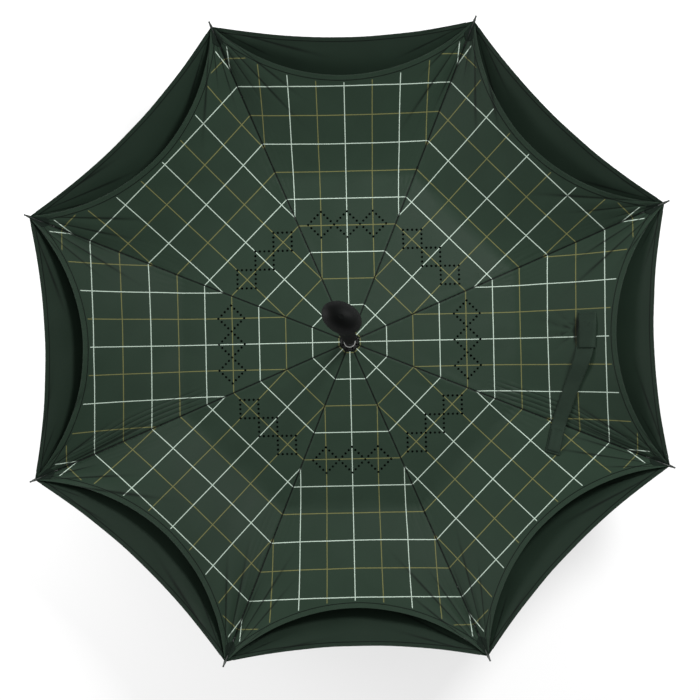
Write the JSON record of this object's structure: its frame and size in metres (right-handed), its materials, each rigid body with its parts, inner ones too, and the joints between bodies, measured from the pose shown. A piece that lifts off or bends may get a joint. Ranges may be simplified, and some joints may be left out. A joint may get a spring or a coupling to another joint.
{
  "type": "stick umbrella",
  "caption": "Open reverse-folding stick umbrella: plaid inner canopy, plain outer canopy, hinged ribs and struts on a sliding runner, and a curved soft grip.",
  "frame": {"origin": "centre of the ferrule's end face, on the shaft's axis", "axes": "+Z along the shaft from the ferrule to the handle; the open canopies' corners lie 22.5 degrees either side of +X"},
  "size_m": [0.9978, 0.9978, 0.815],
  "materials": {
    "outer_cloth": "matt",
    "inner_cloth": "matt printed plaid",
    "strap_cloth": "matt webbing",
    "shaft_paint": "satin black",
    "rib_steel": "black",
    "rod_fibre": "pultruded glass fibre, black",
    "black_plastic": "moulded",
    "tip_metal": "dark",
    "rivet_steel": "plain",
    "spring_steel": "plain",
    "grip_rubber": "soft touch"
  },
  "bodies": {
    "root": {"shaft": "shaft_paint", "crown": "black_plastic", "crown_pins": "rivet_steel", "crown_washer": "black_plastic", "top_cap": "black_plastic", "ferrule": "tip_metal", "top_catch_spring": "spring_steel", "bottom_catch_spring": "spring_steel", "outer_canopy": "outer_cloth", "handle_grip": "grip_rubber", "handle_core": "black_plastic", "handle_pin": "rivet_steel"},
    "runner": {"runner": "black_plastic", "runner_collar": "rivet_steel", "runner_wire": "rivet_steel", "inner_canopy": "inner_cloth"},
    "top_catch": {"top_catch": "spring_steel"},
    "bottom_catch": {"bottom_catch": "spring_steel"},
    "strut_1": {"strut_1": "rib_steel"},
    "rib_inner_1": {"rib_inner_1": "rib_steel", "rib_rivet_1": "rivet_steel"},
    "rib_outer_1": {"rib_outer_1": "rod_fibre", "rib_tip_1": "tip_metal"},
    "strut_2": {"strut_2": "rib_steel"},
    "rib_inner_2": {"rib_inner_2": "rib_steel", "rib_rivet_2": "rivet_steel"},
    "rib_outer_2": {"rib_outer_2": "rod_fibre", "rib_tip_2": "tip_metal"},
    "strut_3": {"strut_3": "rib_steel"},
    "rib_inner_3": {"rib_inner_3": "rib_steel", "rib_rivet_3": "rivet_steel"},
    "rib_outer_3": {"rib_outer_3": "rod_fibre", "rib_tip_3": "tip_metal"},
    "strut_4": {"strut_4": "rib_steel"},
    "rib_inner_4": {"rib_inner_4": "rib_steel", "rib_rivet_4": "rivet_steel"},
    "rib_outer_4": {"rib_outer_4": "rod_fibre", "rib_tip_4": "tip_metal"},
    "strut_5": {"strut_5": "rib_steel"},
    "rib_inner_5": {"rib_inner_5": "rib_steel", "rib_rivet_5": "rivet_steel"},
    "rib_outer_5": {"rib_outer_5": "rod_fibre", "rib_tip_5": "tip_metal"},
    "strut_6": {"strut_6": "rib_steel"},
    "rib_inner_6": {"rib_inner_6": "rib_steel", "rib_rivet_6": "rivet_steel"},
    "rib_outer_6": {"rib_outer_6": "rod_fibre", "rib_tip_6": "tip_metal"},
    "strut_7": {"strut_7": "rib_steel"},
    "rib_inner_7": {"rib_inner_7": "rib_steel", "rib_rivet_7": "rivet_steel"},
    "rib_outer_7": {"rib_outer_7": "rod_fibre", "rib_tip_7": "tip_metal"},
    "strut_8": {"strut_8": "rib_steel"},
    "rib_inner_8": {"rib_inner_8": "rib_steel", "rib_rivet_8": "rivet_steel"},
    "rib_outer_8": {"rib_outer_8": "rod_fibre", "rib_tip_8": "tip_metal", "strap": "strap_cloth", "strap_pad": "strap_cloth"}
  },
  "joints": [
    {"name": "runner_slide", "type": "slide", "parent": "root", "child": "runner", "axis": [0, 0, 1], "range_m": [0, 0.50746], "deforming": ["outer_canopy", "inner_canopy", "strap", "strap_pad"]},
    {"name": "top_catch_press", "type": "slide", "parent": "root", "child": "top_catch", "axis": [-1, 0, 0], "range_m": [0, 0.0017], "stiffness_N_per_m": 1500, "springref_m": -0.001, "deforming": ["top_catch_spring"]},
    {"name": "bottom_catch_press", "type": "slide", "parent": "root", "child": "bottom_catch", "axis": [-1, 0, 0], "range_m": [0, 0.0017], "stiffness_N_per_m": 1500, "springref_m": -0.001, "deforming": ["bottom_catch_spring"]},
    {"name": "strut_hinge_1", "type": "hinge", "parent": "root", "child": "strut_1", "pos_m": [0.01293, 0.00536, 0.03], "axis": [-0.3827, 0.9239, 0], "range_deg": [-81.09, 0]},
    {"name": "rib_hinge_1", "type": "hinge", "parent": "strut_1", "child": "rib_inner_1", "pos_m": [0.2755, 0.11412, 0.062], "axis": [-0.3827, 0.9239, 0], "range_deg": [0, 162.17]},
    {"name": "rod_flex_1", "type": "hinge", "parent": "rib_inner_1", "child": "rib_outer_1", "pos_m": [0.2755, 0.11412, 0.062], "axis": [-0.3827, 0.9239, 0], "range_deg": [0, 34.78]},
    {"name": "strut_hinge_2", "type": "hinge", "parent": "root", "child": "strut_2", "pos_m": [0.00536, 0.01293, 0.03], "axis": [-0.9239, 0.3827, 0], "range_deg": [-81.09, 0]},
    {"name": "rib_hinge_2", "type": "hinge", "parent": "strut_2", "child": "rib_inner_2", "pos_m": [0.11412, 0.2755, 0.062], "axis": [-0.9239, 0.3827, 0], "range_deg": [0, 162.17]},
    {"name": "rod_flex_2", "type": "hinge", "parent": "rib_inner_2", "child": "rib_outer_2", "pos_m": [0.11412, 0.2755, 0.062], "axis": [-0.9239, 0.3827, 0], "range_deg": [0, 34.78]},
    {"name": "strut_hinge_3", "type": "hinge", "parent": "root", "child": "strut_3", "pos_m": [-0.00536, 0.01293, 0.03], "axis": [-0.9239, -0.3827, 0], "range_deg": [-81.09, 0]},
    {"name": "rib_hinge_3", "type": "hinge", "parent": "strut_3", "child": "rib_inner_3", "pos_m": [-0.11412, 0.2755, 0.062], "axis": [-0.9239, -0.3827, 0], "range_deg": [0, 162.17]},
    {"name": "rod_flex_3", "type": "hinge", "parent": "rib_inner_3", "child": "rib_outer_3", "pos_m": [-0.11412, 0.2755, 0.062], "axis": [-0.9239, -0.3827, 0], "range_deg": [0, 34.78]},
    {"name": "strut_hinge_4", "type": "hinge", "parent": "root", "child": "strut_4", "pos_m": [-0.01293, 0.00536, 0.03], "axis": [-0.3827, -0.9239, 0], "range_deg": [-81.09, 0]},
    {"name": "rib_hinge_4", "type": "hinge", "parent": "strut_4", "child": "rib_inner_4", "pos_m": [-0.2755, 0.11412, 0.062], "axis": [-0.3827, -0.9239, 0], "range_deg": [0, 162.17]},
    {"name": "rod_flex_4", "type": "hinge", "parent": "rib_inner_4", "child": "rib_outer_4", "pos_m": [-0.2755, 0.11412, 0.062], "axis": [-0.3827, -0.9239, 0], "range_deg": [0, 34.78]},
    {"name": "strut_hinge_5", "type": "hinge", "parent": "root", "child": "strut_5", "pos_m": [-0.01293, -0.00536, 0.03], "axis": [0.3827, -0.9239, 0], "range_deg": [-81.09, 0]},
    {"name": "rib_hinge_5", "type": "hinge", "parent": "strut_5", "child": "rib_inner_5", "pos_m": [-0.2755, -0.11412, 0.062], "axis": [0.3827, -0.9239, 0], "range_deg": [0, 162.17]},
    {"name": "rod_flex_5", "type": "hinge", "parent": "rib_inner_5", "child": "rib_outer_5", "pos_m": [-0.2755, -0.11412, 0.062], "axis": [0.3827, -0.9239, 0], "range_deg": [0, 34.78]},
    {"name": "strut_hinge_6", "type": "hinge", "parent": "root", "child": "strut_6", "pos_m": [-0.00536, -0.01293, 0.03], "axis": [0.9239, -0.3827, 0], "range_deg": [-81.09, 0]},
    {"name": "rib_hinge_6", "type": "hinge", "parent": "strut_6", "child": "rib_inner_6", "pos_m": [-0.11412, -0.2755, 0.062], "axis": [0.9239, -0.3827, 0], "range_deg": [0, 162.17]},
    {"name": "rod_flex_6", "type": "hinge", "parent": "rib_inner_6", "child": "rib_outer_6", "pos_m": [-0.11412, -0.2755, 0.062], "axis": [0.9239, -0.3827, 0], "range_deg": [0, 34.78]},
    {"name": "strut_hinge_7", "type": "hinge", "parent": "root", "child": "strut_7", "pos_m": [0.00536, -0.01293, 0.03], "axis": [0.9239, 0.3827, 0], "range_deg": [-81.09, 0]},
    {"name": "rib_hinge_7", "type": "hinge", "parent": "strut_7", "child": "rib_inner_7", "pos_m": [0.11412, -0.2755, 0.062], "axis": [0.9239, 0.3827, 0], "range_deg": [0, 162.17]},
    {"name": "rod_flex_7", "type": "hinge", "parent": "rib_inner_7", "child": "rib_outer_7", "pos_m": [0.11412, -0.2755, 0.062], "axis": [0.9239, 0.3827, 0], "range_deg": [0, 34.78]},
    {"name": "strut_hinge_8", "type": "hinge", "parent": "root", "child": "strut_8", "pos_m": [0.01293, -0.00536, 0.03], "axis": [0.3827, 0.9239, 0], "range_deg": [-81.09, 0]},
    {"name": "rib_hinge_8", "type": "hinge", "parent": "strut_8", "child": "rib_inner_8", "pos_m": [0.2755, -0.11412, 0.062], "axis": [0.3827, 0.9239, 0], "range_deg": [0, 162.17]},
    {"name": "rod_flex_8", "type": "hinge", "parent": "rib_inner_8", "child": "rib_outer_8", "pos_m": [0.2755, -0.11412, 0.062], "axis": [0.3827, 0.9239, 0], "range_deg": [0, 34.78]}
  ],
  "couplings": [
    {"joint": "strut_hinge_1", "follows": "runner_slide", "rad_per_m": -2.7885},
    {"joint": "rib_hinge_1", "follows": "runner_slide", "rad_per_m": 5.577},
    {"joint": "rod_flex_1", "follows": "runner_slide", "rad_per_m": 1.1958},
    {"joint": "strut_hinge_2", "follows": "runner_slide", "rad_per_m": -2.7885},
    {"joint": "rib_hinge_2", "follows": "runner_slide", "rad_per_m": 5.577},
    {"joint": "rod_flex_2", "follows": "runner_slide", "rad_per_m": 1.1958},
    {"joint": "strut_hinge_3", "follows": "runner_slide", "rad_per_m": -2.7885},
    {"joint": "rib_hinge_3", "follows": "runner_slide", "rad_per_m": 5.577},
    {"joint": "rod_flex_3", "follows": "runner_slide", "rad_per_m": 1.1958},
    {"joint": "strut_hinge_4", "follows": "runner_slide", "rad_per_m": -2.7885},
    {"joint": "rib_hinge_4", "follows": "runner_slide", "rad_per_m": 5.577},
    {"joint": "rod_flex_4", "follows": "runner_slide", "rad_per_m": 1.1958},
    {"joint": "strut_hinge_5", "follows": "runner_slide", "rad_per_m": -2.7885},
    {"joint": "rib_hinge_5", "follows": "runner_slide", "rad_per_m": 5.577},
    {"joint": "rod_flex_5", "follows": "runner_slide", "rad_per_m": 1.1958},
    {"joint": "strut_hinge_6", "follows": "runner_slide", "rad_per_m": -2.7885},
    {"joint": "rib_hinge_6", "follows": "runner_slide", "rad_per_m": 5.577},
    {"joint": "rod_flex_6", "follows": "runner_slide", "rad_per_m": 1.1958},
    {"joint": "strut_hinge_7", "follows": "runner_slide", "rad_per_m": -2.7885},
    {"joint": "rib_hinge_7", "follows": "runner_slide", "rad_per_m": 5.577},
    {"joint": "rod_flex_7", "follows": "runner_slide", "rad_per_m": 1.1958},
    {"joint": "strut_hinge_8", "follows": "runner_slide", "rad_per_m": -2.7885},
    {"joint": "rib_hinge_8", "follows": "runner_slide", "rad_per_m": 5.577},
    {"joint": "rod_flex_8", "follows": "runner_slide", "rad_per_m": 1.1958}
  ]
}
